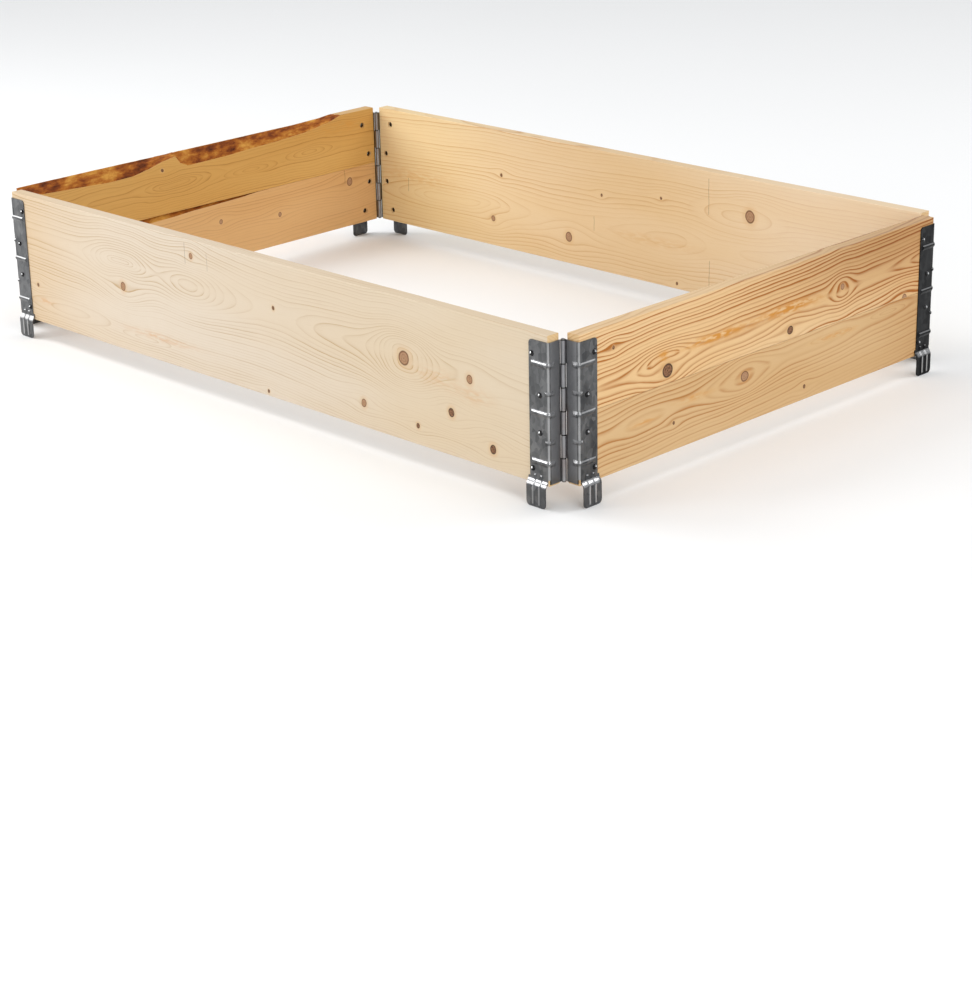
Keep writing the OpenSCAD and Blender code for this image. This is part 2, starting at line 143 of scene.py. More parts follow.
# The inner side of a leaf, which is painted lighter as painted light
INNER_BAND = (OUTER_FROM, -5.0)
INNER_SHARE = 0.6
RIDGE_FOOT = (0.35, 0.75)
RIDGE_CREST = (1.6, 1.3)
STEP_FOOT = 0.5
STEP_BLEND = 6.0
TURN_ALONG = -2.0
TURN_OUT = -13.0
BEAD_RISE = (5.2, 5.9)

# Painted highlights on a leaf and its rivet crowns, partly wear on the folds, rust stains, and painted
# shade by the knuckles
FOLD_BAND = (0.6, 2.2)
FOLD_WEAR_AND_HIGHLIGHT = 0.35
SLOPE_RANGE = (0.12, 0.45)
STAIN_BAND = (3.0, 11.0)
STAIN_RANGE = (0.45, 0.7)
STAIN_DEPTH = 0.3
# Where the painted shade lies in the barrel's knuckle gaps and in the crease beside it
BARREL_BAND = (KNUCKLE_RADIUS + 0.1, KNUCKLE_RADIUS + 0.5)
CREASE_BAND = (KNUCKLE_RADIUS + 0.8, KNUCKLE_RADIUS + 2.6)
GAP_SHADE = (1.2, 0.5, 0.0, 0.9)
CREASE_DEPTH = 0.5
# How the painted highlight on the rivet crowns leans up and how wide it is
CROWN_LEAN = math.radians(16.0)
CROWN_RANGE = (0.93, 0.98)


class Graph:
    """Short calls that add linked nodes to one node tree."""

    def __init__(self, tree):
        self.tree = tree

    def add(self, kind, **settings):
        made = self.tree.nodes.new(kind)
        for name, value in settings.items():
            setattr(made, name, value)
        return made

    def feed(self, socket, value):
        """Links a socket or sets a plain value."""
        if isinstance(value, bpy.types.NodeSocket):
            self.tree.links.new(value, socket)
        else:
            socket.default_value = value

    def math(self, operation, *values):
        made = self.add("ShaderNodeMath", operation=operation)
        for socket, value in zip(made.inputs, values):
            self.feed(socket, value)
        return made.outputs[0]

    def chain(self, operation, first, *others):
        """One operation on any number of values, from left to right."""
        for other in others:
            first = self.math(operation, first, other)
        return first

    def plus(self, *values):
        return self.chain("ADD", *values)

    def minus(self, first, second):
        return self.math("SUBTRACT", first, second)

    def times(self, *values):
        return self.chain("MULTIPLY", *values)

    def over(self, first, second):
        return self.math("DIVIDE", first, second)

    def most(self, *values):
        return self.chain("MAXIMUM", *values)

    def least(self, *values):
        return self.chain("MINIMUM", *values)

    def above(self, first, second):
        return self.math("GREATER_THAN", first, second)

    def below(self, first, second):
        return self.math("LESS_THAN", first, second)

    def positive(self, value):
        return self.math("ABSOLUTE", value)

    def distance(self, first, second):
        """The length of a way with two square legs."""
        return self.math("SQRT", self.plus(self.times(first, first), self.times(second, second)))

    def dot(self, vector, way):
        made = self.add("ShaderNodeVectorMath", operation="DOT_PRODUCT")
        self.feed(made.inputs[0], vector)
        self.feed(made.inputs[1], way)
        return made.outputs["Value"]

    def point(self, x, y, z):
        made = self.add("ShaderNodeCombineXYZ")
        for socket, value in zip(made.inputs, (x, y, z)):
            self.feed(socket, value)
        return made.outputs[0]

    def noise(self, vector, detail=2.0, roughness=0.5):
        """Noise from 0 to 1, one cell to a unit of the vector."""
        made = self.add("ShaderNodeTexNoise")
        self.feed(made.inputs["Vector"], vector)
        made.inputs["Scale"].default_value = 1.0
        made.inputs["Detail"].default_value = detail
        made.inputs["Roughness"].default_value = roughness
        return made.outputs["Fac"]

    def span(self, value, low, high, out_low=0.0, out_high=1.0):
        """Maps low to high smoothly onto another range, held at its ends."""
        made = self.add("ShaderNodeMapRange", interpolation_type="SMOOTHSTEP")
        for name, number in (("Value", value), ("From Min", low), ("From Max", high),
                             ("To Min", out_low), ("To Max", out_high)):
            self.feed(made.inputs[name], number)
        return made.outputs[0]

    def ramp(self, value, stops):
        """Colours or greys between stops of (place, colour)."""
        made = self.add("ShaderNodeValToRGB")
        points = made.color_ramp.elements
        while len(points) < len(stops):
            points.new(1.0)
        for point, (place, colour) in zip(points, stops):
            point.position = place
            point.color = (*colour, 1.0) if isinstance(colour, tuple) else (colour, colour, colour, 1.0)
        self.feed(made.inputs[0], value)
        return made.outputs[0]

    def mix(self, factor, first, second, blend="MIX"):
        """Mixes two colours."""
        made = self.add("ShaderNodeMix", data_type="RGBA", blend_type=blend)
        self.feed(made.inputs["Factor"], factor)
        colours = [socket for socket in made.inputs if socket.type == "RGBA"]
        for socket, value in zip(colours, (first, second)):
            self.feed(socket, (*value, 1.0) if isinstance(value, tuple) else value)
        return [socket for socket in made.outputs if socket.type == "RGBA"][0]

    def group(self, tree, **inputs):
        made = self.add("ShaderNodeGroup", node_tree=tree)
        for name, value in inputs.items():
            self.feed(made.inputs[name], value)
        return made.outputs

    def bump(self, height, strength, distance):
        made = self.add("ShaderNodeBump")
        made.inputs["Strength"].default_value = strength
        made.inputs["Distance"].default_value = distance
        self.feed(made.inputs["Height"], height)
        return made.outputs[0]


class Surface(Graph):
    """The node tree of a new material, with its shader, the place on the part and its facing."""

    def __init__(self, name):
        self.material = bpy.data.materials.new(name)
        self.material.use_nodes = True
        super().__init__(self.material.node_tree)
        self.shader = self.tree.nodes["Principled BSDF"]
        where = self.add("ShaderNodeTexCoord")
        self.place = where.outputs["Object"]
        self.facing = where.outputs["Normal"]

    def millimetres(self, way):
        """How far the place lies from the ring's middle, along a way."""
        return self.times(self.dot(self.place, way), MM)

    def complete(self, colour, rough, normal):
        """Feeds the shader and hands over the material."""
        self.feed(self.shader.inputs["Base Color"], colour)
        self.feed(self.shader.inputs["Roughness"], rough)
        self.feed(self.shader.inputs["Normal"], normal)
        return self.material


def new_group(name, inputs, outputs):
    """An empty node group of numbers, with its graph, its input sockets and its output node."""
    tree = bpy.data.node_groups.new(name, "ShaderNodeTree")
    for label in inputs:
        tree.interface.new_socket(label, in_out="INPUT", socket_type="NodeSocketFloat")
    for label in outputs:
        tree.interface.new_socket(label, in_out="OUTPUT", socket_type="NodeSocketFloat")
    return Graph(tree), tree.nodes.new("NodeGroupInput").outputs, tree.nodes.new("NodeGroupOutput").inputs


def feature_group():
    """A spot on the board: how it parts the grain, how far off its rim is, and a fading bell."""
    graph, given, result = new_group(
        "grain_feature",
        ("along", "height", "at_along", "at_height", "size_along", "size_height",
         "reach_along", "reach_height", "part"),
        ("bend", "rim", "bell"))
    along = graph.minus(given["along"], given["at_along"])
    height = graph.minus(given["height"], given["at_height"])

    def off(wide, tall):
        """The distance from the spot, with one at the edge of an oval."""
        return graph.distance(graph.over(along, wide), graph.over(height, tall))

    reached = off(given["reach_along"], given["reach_height"])
    bell = graph.math("EXPONENT", graph.times(reached, reached, -1.0))
    graph.feed(result["bend"], graph.times(bell, given["part"], height, -1.0))
    graph.feed(result["rim"], off(given["size_along"], given["size_height"]))
    graph.feed(result["bell"], bell)
    return graph.tree


def scratch_group():
    """A short upright dark line."""
    graph, given, result = new_group(
        "scratch", ("along", "height", "at", "low", "high", "width"), ("mask",))
    off = graph.positive(graph.minus(given["along"], given["at"]))
    graph.feed(result["mask"], graph.times(graph.below(off, given["width"]),
                                           graph.above(given["height"], given["low"]),
                                           graph.below(given["height"], given["high"])))
    return graph.tree


FEATURE = feature_group()
SCRATCH = scratch_group()


@dataclass
class Knot:
    """A knot at (along, height below the top edge), its half height and how the grain parts round it."""
    at: tuple
    size: float
    stretch: float = 0.85
    part: float = 0.9
    reach: float = 4.0
    dead: bool = False


@dataclass
class KnotKind:
    """The colours of live or dead knots, and how strong their halo and their spots are."""
    core: tuple
    ring: tuple
    halo: float
    spots: float


LIVE_KNOT = KnotKind((0.44, 0.25, 0.135), (0.17, 0.075, 0.034), halo=0.4, spots=0.3)
DEAD_KNOT = KnotKind((0.30, 0.14, 0.065), (0.04, 0.017, 0.009), halo=0.5, spots=0.75)


@dataclass
class Pith:
    """The tree's middle line beside the seen face: its level halfway, its slope and how far off it is."""
    level: float
    slope: float
    away: float
    wander: float = 0.5


@dataclass
class Whorl:
    """A place along the board where the pith comes closer, so that the year lines close to ovals."""
    at: float
    reach: float
    closer: float


@dataclass
class Flame:
    """Nested pointed ovals beside the middle line: half lengths along and across, and how many lines."""
    at: tuple
    size: tuple
    lines: float


@dataclass
class Streak:
    """A patch of orange heartwood."""
    at: tuple
    reach: tuple
    depth: float


@dataclass
class Tint:
    """A wide soft patch of another colour."""
    at: tuple
    reach: tuple
    colour: tuple
    depth: float = 0.9


@dataclass
class Calm:
    """A wide place where the year lines fade."""
    at: tuple
    reach: tuple
    depth: float


@dataclass
class Bark:
    """A bark edge along the top inner edge: the level of that edge, how deep it goes and where it ends."""
    top: float
    drop: float
    end: float


@dataclass
class Scratch:
    """An upright dark line, from low to high."""
    at: float
    low: float
    high: float
    width: float = 0.5


@dataclass
class Timber:
    """One board's looks: which way it runs, which face was seen, its colours and its grain."""
    name: str
    run: tuple
    inward: tuple
    outer: float
    seen_depth: float
    pale: tuple
    deep: tuple
    late: tuple
    contrast: float
    spacing: float
    seed: float
    pith: Pith
    knots: list
    whorls: list = field(default_factory=list)
    flames: list = field(default_factory=list)
    streaks: list = field(default_factory=list)
    scratches: list = field(default_factory=list)
    tints: list = field(default_factory=list)
    calms: list = field(default_factory=list)
    bark: Bark = None
    broad_lines: bool = False
    warp: float = 18.0
    ripple: float = 4.0
    faintest: float = 0.5


def blend(first, second, share):
    """A colour between two others."""
    return tuple((1.0 - share) * one + share * other for one, other in zip(first, second))


class Plank(Surface):
    """The wood of one board, worked out in millimetres along it, up it and into it."""

    def __init__(self, timber):
        super().__init__(timber.name)
        self.timber = timber
        self.run = self.millimetres(timber.run)
        self.depth = self.minus(self.millimetres(timber.inward), timber.outer)
        self.level = self.minus(self.millimetres(UP), RING_TOP)
        lean = self.times(self.minus(self.depth, timber.seen_depth), LEAN_ALONG)
        self.along = self.plus(self.run, lean)
        self.height = self.plus(self.level, self.times(lean, LEAN_UP))
        self.quick = self.swing(QUICK_CELLS, timber.ripple)
        self.wobble_along = self.plus(self.along, self.times(self.quick, WOBBLE_ALONG))
        self.wobble_height = self.plus(self.height, self.times(self.quick, WOBBLE_UP))
        self.fibre = self.stretched(FIBRE_CELLS, **FIBRE_DETAIL)
        self.fade = self.span(self.stretched(FADE_CELLS), *FADE_RANGE, timber.faintest, 1.0)

    def stretched(self, cells, **detail):
        """Noise with long cells along the board."""
        length, across, shift = cells
        deep = self.plus(self.over(self.depth, across), self.timber.seed + shift)
        return self.noise(self.point(self.over(self.along, length), self.over(self.height, across), deep),
                          **detail)

    def swing(self, cells, reach):
        """Noise to both sides of nothing."""
        return self.times(self.minus(self.stretched(cells), MIDDLE_NOISE), reach)

    def spot(self, at, wobbles=True, size=(1.0, 1.0), reach=(1.0, 1.0), part=0.0):
        """A spot on the board, which may wobble with the grain."""
        return self.group(FEATURE, along=self.wobble_along if wobbles else self.along,
                          height=self.wobble_height if wobbles else self.height,
                          at_along=at[0], at_height=at[1], size_along=size[0], size_height=size[1],
                          reach_along=reach[0], reach_height=reach[1], part=part)

    def part_grain(self):
        """The height bent by noise and parted by knots, and the rims of the live and of the dead ones."""
        bent = self.plus(self.height, self.swing(SLOW_CELLS, self.timber.warp), self.quick)
        rims = {False: FAR_RIM, True: FAR_RIM}
        for knot in self.timber.knots:
            reach = knot.size * knot.reach
            found = self.spot(knot.at, size=(knot.size * knot.stretch, knot.size),
                              reach=(reach * KNOT_REACH_ALONG, reach), part=knot.part)
            bent = self.plus(bent, found["bend"])
            rims[knot.dead] = self.least(rims[knot.dead], found["rim"])
        return bent, rims

    def years(self, bent):
        """The distance from the pith, and how far that is to one side of it."""
        pith = self.timber.pith
        drift = self.span(self.stretched(DRIFT_CELLS), *DRIFT_RANGE, 1.0 - pith.wander, 1.0 + pith.wander)
        away = self.times(drift, pith.away)
        for whorl in self.timber.whorls:
            found = self.group(FEATURE, along=self.wobble_along, at_along=whorl.at, size_along=1.0,
                               size_height=1.0, reach_along=whorl.reach, reach_height=1.0)
            away = self.minus(away, self.times(found["bell"], whorl.closer))
        into = self.positive(self.minus(self.depth, self.timber.seen_depth))
        away = self.plus(self.most(away, CLOSEST_PITH), into)
        beside = self.minus(bent, self.plus(self.times(self.along, pith.slope), pith.level))
        return self.distance(beside, away), beside

    def year_lines(self, bent):
        """A soft rise to a dark late line for each year, and its shade, of each year's own strength."""
        timber = self.timber
        grain, beside = self.years(bent)
        uneven = self.noise(self.point(self.over(grain, UNEVEN_CELL), timber.seed, 0.0))
        turns = self.plus(self.over(grain, timber.spacing), self.times(uneven, UNEVEN_YEARS))
        line = self.ramp(self.math("FRACT", turns), BROAD_TONES if timber.broad_lines else RING_TONES)
        own = self.add("ShaderNodeTexWhiteNoise", noise_dimensions="1D")
        self.feed(own.inputs["W"], self.plus(self.math("FLOOR", turns), timber.seed))
        strength = self.span(own.outputs["Value"], *YEAR_STRENGTH)
        steep = self.span(self.over(self.positive(beside), grain), *STEEP_FADE)
        return line, self.times(line, strength, self.fade, timber.contrast, steep)

    def flames_and_calms(self, shade):
        """Nested ovals drawn over the year lines, and places where all lines fade."""
        for flame in self.timber.flames:
            found = self.spot(flame.at, size=flame.size)
            within = self.span(found["rim"], *FLAME_EDGE)
            outline = self.ramp(self.math("FRACT", self.times(found["rim"], flame.lines)), RING_TONES)
            outline = self.times(outline, self.fade, self.timber.contrast * FLAME_STRENGTH)
            shade = self.plus(self.times(shade, self.minus(1.0, within)), self.times(outline, within))
        for calm in self.timber.calms:
            found = self.spot(calm.at, wobbles=False, reach=calm.reach)
            shade = self.times(shade, self.minus(1.0, self.times(found["bell"], calm.depth)))
        return shade

    def sapwood(self, shade):
        """The board's own colour with its lines, fibres, orange streaks and soft tints."""
        timber = self.timber
        broad = self.span(self.stretched(BROAD_CELLS), *BROAD_RANGE)
        colour = self.mix(broad, timber.pale, timber.deep)
        colour = self.mix(shade, colour, timber.late)
        colour = self.mix(self.span(self.fibre, *FIBRE_SHADE), colour, timber.late)
        for streak in timber.streaks:
            found = self.spot(streak.at, reach=streak.reach)
            ragged = self.span(self.stretched(RAGGED_CELLS), *RAGGED_RANGE)
            colour = self.mix(self.times(found["bell"], ragged, streak.depth), colour, ORANGE)
        for tint in timber.tints:
            found = self.spot(tint.at, wobbles=False, reach=tint.reach)
            colour = self.mix(self.times(found["bell"], tint.depth), colour, tint.colour, blend="MULTIPLY")
        return colour

    def draw_knots(self, colour, rim, kind):
        """A halo, then the ringed heart inside the rim."""
        colour = self.mix(self.span(rim, *HALO_RANGE, 0.0, kind.halo), colour, KNOT_HALO)
        heart = self.ramp(self.times(rim, HEART_SCALE),
                          [(place, blend(kind.core, kind.ring, share)) for place, share in HEART_RINGS])
        mottle = self.span(self.stretched(MOTTLE_CELLS, **MOTTLE_DETAIL), *MOTTLE_RANGE, 0.0, kind.spots)
        heart = self.mix(mottle, heart, kind.ring)
        return self.mix(self.span(rim, *HEART_RANGE), colour, heart)

    def draw_scratches(self, colour):
        """Short dark lines across the grain."""
        for scratch in self.timber.scratches:
            found = self.group(SCRATCH, along=self.wobble_along, height=self.height, at=scratch.at,
                               low=scratch.low, high=scratch.high, width=scratch.width)
            colour = self.mix(self.times(found["mask"], SCRATCH_DEPTH), colour, SCRATCH_DARK)
        return colour

    def saw(self, colour, line):
        """End grain on the sawn ends, a darker greyer tan on the upward long edges."""
        ends = self.span(self.positive(self.dot(self.facing, self.timber.run)), *END_RANGE)
        sawn = self.mix(self.times(line, END_LINES), END_GRAIN, self.timber.late)
        colour = self.mix(ends, colour, sawn)
        edges = self.span(self.positive(self.dot(self.facing, UP)), *EDGE_SHADE)
        return self.mix(edges, colour, UPWARD_FACE_TONE)

    def bark_mask(self):
        """One on the edge that the saw left round."""
        bark = self.timber.bark
        return self.times(self.below(self.depth, THICKNESS - BARK_MARGIN),
                          self.below(self.level, bark.top - BARK_MARGIN),
                          self.above(self.level, bark.top - bark.drop),
                          self.below(self.run, bark.end),
                          self.above(self.depth, BARK_OUTER_MARGIN))


def wood(timber):
    """The procedural material of one board."""
    plank = Plank(timber)
    bent, rims = plank.part_grain()
    line, shade = plank.year_lines(bent)
    colour = plank.sapwood(plank.flames_and_calms(shade))
    for dead, kind in ((False, LIVE_KNOT), (True, DEAD_KNOT)):
        if any(knot.dead == dead for knot in timber.knots):
            colour = plank.draw_knots(colour, rims[dead], kind)
    colour = plank.saw(plank.draw_scratches(colour), line)
    rough = plank.span(plank.fibre, *WOOD_ROUGHNESS)
    relief = plank.fibre
    if timber.bark:
        patches = plank.swing(PATCH_CELLS, BARK_PATCHES)
        flakes = plank.plus(plank.stretched(FLAKE_CELLS, **FLAKE_DETAIL), patches)
        mask = plank.bark_mask()
        colour = plank.mix(mask, colour, plank.ramp(flakes, BARK_TONES))
        rough = plank.most(rough, plank.times(mask, BARK_ROUGHNESS))
        relief = plank.plus(relief, plank.times(flakes, mask, BARK_RELIEF))
    plank.shader.inputs["Specular IOR Level"].default_value = WOOD_SPECULAR
    return plank.complete(colour, rough, plank.bump(relief, **WOOD_BUMP))


@dataclass
class Finish:
    """The two greys of a steel and its roughness from smooth to dull."""
    light: tuple
    dark: tuple
    smooth: float
    dull: float


@dataclass
class Faces:
    """Where a leaf's flange, fold and pin lie, along its wall and out from the middle, how strong its
    painted highlights are and the colour of its inner side.
    """
    run: tuple
    out: tuple
    flange: float
    fold_along: float
    fold_out: float
    pin_along: float
    pin_out: float
    # Strength of the painted highlight on ribs, step and beads
    wear: float
    inside: tuple = RETURN_PAINTED_LIGHT
    # Painted highlight on the step, where along the wall it starts, and on the beads; polish scales the
    # roughness there
    step_wear: float = 1.0
    step_from: float = 0.0
    bead_wear: float = 0.5
    polish: float = 0.5


def leaf_faces(run, out, half_along, half_out, **wear):
    """The faces of the leaves of two opposite walls."""
    return Faces(run, out, flange=half_out + SHEET, fold_along=half_along - FOLD_INSET,
                 fold_out=half_out + FOLD_PROUD, pin_along=half_along - PIN_INSET,
                 pin_out=half_out - PIN_INSET, **wear)


class Sheet(Surface):
    """Galvanised steel: cloudy grey with crystal patches and rub marks."""

    def __init__(self, name, finish):
        super().__init__(name)
        crystals = self.add("ShaderNodeTexVoronoi", feature="F1")
        self.feed(crystals.inputs["Vector"], self.scaled(CRYSTAL_CELLS))
        crystals.inputs["Scale"].default_value = 1.0
        spangle = self.dot(crystals.outputs["Color"], GREY)
        self.cloud = self.noise(self.scaled(CLOUD_CELLS), detail=CLOUD_DETAIL)
        self.rub = self.noise(self.scaled(RUB_CELLS), detail=RUB_DETAIL)
        tone = self.plus(self.times(spangle, CRYSTAL_SHARE), self.times(self.cloud, CLOUD_SHARE))
        colour = self.mix(self.span(tone, *TONE_RANGE), finish.dark, finish.light)
        self.colour = self.mix(self.span(self.rub, *RUB_SHADE), colour, finish.light)
        self.rough = self.span(tone, *ROUGH_RANGE, finish.dull, finish.smooth)

    def scaled(self, cells):
        """The place on the part, counted in cells."""
        tall, wide = cells
        made = self.add("ShaderNodeVectorMath", operation="MULTIPLY")
        self.feed(made.inputs[0], self.place)
        made.inputs[1].default_value = (MM / wide, MM / wide, MM / tall)
        return made.outputs[0]

    def lay_out(self, faces):
        """Finds the places along a leaf's wall and out from the ring's middle."""
        self.faces = faces
        self.along = self.positive(self.millimetres(faces.run))
        self.out = self.positive(self.millimetres(faces.out))
        self.up = self.millimetres(UP)

    def near(self, at_along, at_out, band):
        """One near an upright line, fading to nothing away from it."""
        close, away = band
        return self.span(self.distance(self.minus(self.along, at_along), self.minus(self.out, at_out)),
                         away, close)

    def proud(self, band):
        """From nothing to one through a band that is counted outwards from the flange."""
        return self.span(self.out, *(self.faces.flange + edge for edge in band))

    def painted_highlights(self):
        """Painted highlight on the upper slopes of ribs and step, and on the crests of the beads."""
        faces = self.faces
        slope = self.span(self.dot(self.facing, UP), *SLOPE_RANGE)
        ridge = self.times(self.proud(RIDGE_FOOT), self.proud(RIDGE_CREST))
        step = self.times(self.below(self.up, STEP_TOP), self.above(self.out, faces.flange + STEP_FOOT),
                          faces.step_wear,
                          self.span(self.along, faces.step_from, faces.step_from + STEP_BLEND))
        turn = self.times(self.above(self.along, faces.fold_along + TURN_ALONG),
                          self.above(self.out, faces.flange + TURN_OUT))
        bead = self.times(self.proud(BEAD_RISE), faces.bead_wear)
        return self.times(self.most(self.times(slope, self.most(ridge, step, turn)), bead), faces.wear)

    def paint_leaf_light_and_stains(self):
        """Paints the inner side a lighter grey as painted light (rivets get their tails' own colour there),
        paints highlights on folds, ribs and beads, partly as wear on the folds, and stains beside the pin
        with rust.
        """
        faces = self.faces
        # Painted light: the returns and barrel get a lighter grey; on rivets the tails get their own colour
        inner = self.times(self.proud(INNER_BAND), INNER_SHARE)
        self.colour = self.mix(inner, self.colour, faces.inside)
        fold = self.near(faces.fold_along, faces.fold_out, FOLD_BAND)
        # Folds are partly worn and partly painted highlight; ribs, step and beads are painted highlight
        highlight_and_wear = self.most(self.times(fold, FOLD_WEAR_AND_HIGHLIGHT), self.painted_highlights())
        self.rough = self.times(self.rough, self.span(highlight_and_wear, 0.0, 1.0, 1.0, faces.polish))
        self.colour = self.mix(highlight_and_wear, self.colour, WEAR_AND_HIGHLIGHT_STEEL)
        stain = self.times(self.near(faces.pin_along, faces.pin_out, STAIN_BAND),
                           self.span(self.cloud, *STAIN_RANGE), STAIN_DEPTH)
        self.colour = self.mix(stain, self.colour, RUST)

    def shade_knuckle_gaps(self):
        """Painted shade in the gaps between the knuckles and in the crease beside the barrel."""
        faces = self.faces
        row = self.math("FRACT", self.over(self.minus(LEAF_TOP, self.up), KNUCKLE_PITCH))
        to_gap = self.times(self.least(row, self.minus(1.0, row)), KNUCKLE_PITCH)
        barrel = self.near(faces.pin_along, faces.pin_out, BARREL_BAND)
        gap = self.times(barrel, self.span(to_gap, *GAP_SHADE))
        beside = self.near(faces.pin_along, faces.pin_out, CREASE_BAND)
        crease = self.times(beside, self.minus(1.0, barrel), CREASE_DEPTH)
        self.colour = self.mix(self.most(gap, crease), self.colour, GAP_PAINTED_SHADE)

    def paint_crown_highlights(self):
        """Paints a highlight on the outer rivet heads, on a crown that leans up."""
        level = self.most(*(self.positive(self.dot(self.facing, way)) for way in (RUN_X, RUN_Y)))
        turned = self.plus(self.times(level, math.cos(CROWN_LEAN)),
                           self.times(self.dot(self.facing, UP), math.sin(CROWN_LEAN)))
        outer = self.above(self.out, self.faces.flange + OUTER_FROM)
        bright = self.times(self.span(turned, *CROWN_RANGE), outer)
        self.colour = self.mix(bright, self.colour, WEAR_AND_HIGHLIGHT_STEEL)

    def done(self):
        """The finished steel."""
        self.shader.inputs["Metallic"].default_value = 1.0
        relief = self.plus(self.cloud, self.times(self.rub, RUB_RELIEF))
        return self.complete(self.colour, self.rough, self.bump(relief, **STEEL_BUMP))


def leaf_steel(name, finish, faces, highlit_crowns=False):
    """The steel of a leaf, or of the rivets that go through it."""
    sheet = Sheet(name, finish)
    sheet.lay_out(faces)
    sheet.paint_leaf_light_and_stains()
    sheet.shade_knuckle_gaps()
    if highlit_crowns:
        sheet.paint_crown_highlights()
    return sheet.done()


front_wood = Timber(
    "front_wood", RUN_X, RUN_Y, -HALF_WIDTH, 0.0,
    pale=(0.715, 0.615, 0.495), deep=(0.705, 0.585, 0.44), late=(0.47, 0.30, 0.135),
    contrast=1.3, spacing=3.9, seed=1.0, faintest=0.15,
    pith=Pith(-75.0, -0.0295, 30.0, 0.08),
    knots=[
        Knot((-300, -101), 6.5), Knot((310, -84), 9.5, stretch=1.0, reach=3.0), Knot((433, -87), 6.0),
        Knot((228, -165), 5.5), Knot((398, -140), 6.0, dead=True), Knot((334, -173), 3.5, dead=True),
        Knot((474, -173), 6.0, dead=True), Knot((-521, -140), 3.0, dead=True), Knot((-132, -24), 4.5),
        Knot((46, -67), 3.0, dead=True), Knot((27, -193), 2.5, dead=True),
    ],
    whorls=[Whorl(-304, 58, 30), Whorl(-141, 55, 16), Whorl(40, 90, -12), Whorl(312, 50, 28)],
    flames=[Flame((-440, -166), (105, 15), 2.0), Flame((-250, -172), (60, 7), 2.0)],
    streaks=[
        Streak((-505, -163), (20, 4), 0.4), Streak((-214, -164), (70, 5), 0.45),
        Streak((368, -98), (40, 12), 0.25), Streak((440, -108), (30, 10), 0.3),
    ],
    tints=[
        Tint((-600, -100), (170, 400), (0.96, 0.84, 0.67)),
        Tint((420, -120), (260, 300), (1.0, 0.96, 0.86), 0.8),
    ],
    calms=[Calm((500, -90), (190, 300), 0.4), Calm((-40, -60), (90, 40), 0.4)],
    scratches=[Scratch(-146, -38, -6), Scratch(-96, -40, -14, 0.35)],
)
right_upper_wood = Timber(
    "right_upper_wood", RUN_Y, (-1.0, 0.0, 0.0), -HALF_LENGTH, 0.0,
    pale=(0.80, 0.58, 0.335), deep=(0.76, 0.505, 0.25), late=(0.40, 0.135, 0.018),
    contrast=1.9, spacing=5.0, seed=5.0, warp=12.0, broad_lines=True,
    pith=Pith(-66.0, 0.04, 15.0, 0.25),
    knots=[
        Knot((-205, -87), 9.0, stretch=1.05, dead=True, reach=2.8),
        Knot((48, -92), 5.5, stretch=1.1, dead=True, reach=4.0),
        Knot((162, -56), 4.5, reach=3.0), Knot((308, -105), 6.0),
        Knot((-309, -31), 2.5, dead=True, reach=5.0),
    ],
    whorls=[Whorl(-215, 45, 13), Whorl(162, 24, 9), Whorl(380, 60, 12)],
    streaks=[
        Streak((-105, -64), (60, 6), 1.3), Streak((45, -60), (60, 7), 1.4),
        Streak((-214, -66), (9, 8), 1.2),
    ],
    tints=[
        Tint((400, -50), (130, 300), (0.90, 0.80, 0.68)),
        Tint((260, -10), (230, 60), (0.62, 0.48, 0.31)),
    ],
)
right_lower_wood = Timber(
    "right_lower_wood", RUN_Y, (-1.0, 0.0, 0.0), -HALF_LENGTH, 0.0,
    pale=(0.67, 0.455, 0.235), deep=(0.63, 0.405, 0.19), late=(0.42, 0.17, 0.038),
    contrast=1.2, spacing=5.2, seed=9.0, warp=12.0, broad_lines=True,
    pith=Pith(-131.0, 0.05, 20.0, 0.3),
    knots=[
        Knot((-48, -134), 7.0, stretch=1.1, reach=3.0), Knot((82, -181), 3.0, dead=True),
        Knot((-192, -162), 2.5, dead=True),
    ],
    whorls=[Whorl(-55, 80, 16), Whorl(-230, 60, 8)],
    flames=[Flame((140, -122), (48, 6), 2.0), Flame((270, -117), (42, 6), 2.0)],
    streaks=[
        Streak((-150, -137), (30, 4), 0.7), Streak((-250, -146), (24, 3), 0.6),
        Streak((150, -122), (40, 4), 0.6),
    ],
    tints=[Tint((400, -150), (130, 300), (0.86, 0.76, 0.64))],
    calms=[Calm((180, -185), (190, 45), 0.35)],
)
left_upper_wood = Timber(
    "left_upper_wood", RUN_Y, RUN_X, -HALF_LENGTH, THICKNESS,
    pale=(0.63, 0.36, 0.105), deep=(0.59, 0.315, 0.08), late=(0.34, 0.135, 0.025),
    contrast=1.1, spacing=3.8, seed=13.0, ripple=9.0,
    pith=Pith(-54.0, 0.0, 18.0, 0.35),
    knots=[Knot((-98, -24), 3.0, dead=True, reach=5.0)],
    whorls=[Whorl(-70, 55, 18)],
    flames=[Flame((90, -57), (60, 9), 3.0), Flame((220, -52), (55, 10), 3.0)],
    streaks=[Streak((300, -20), (60, 10), 0.4)],
    bark=Bark(top=0.0, drop=31.0, end=310.0),
)
left_lower_wood = Timber(
    "left_lower_wood", RUN_Y, RUN_X, -HALF_LENGTH, THICKNESS,
    pale=(0.68, 0.41, 0.18), deep=(0.64, 0.36, 0.14), late=(0.36, 0.16, 0.05),
    contrast=0.85, spacing=5.2, seed=17.0,
    pith=Pith(-215.0, 0.02, 20.0),
    knots=[Knot((18, -134), 4.0), Knot((148, -147), 4.0), Knot((311, -121), 7.0)],
    scratches=[Scratch(300, -122, -98)],
    bark=Bark(top=-98.0, drop=12.5, end=125.0),
)
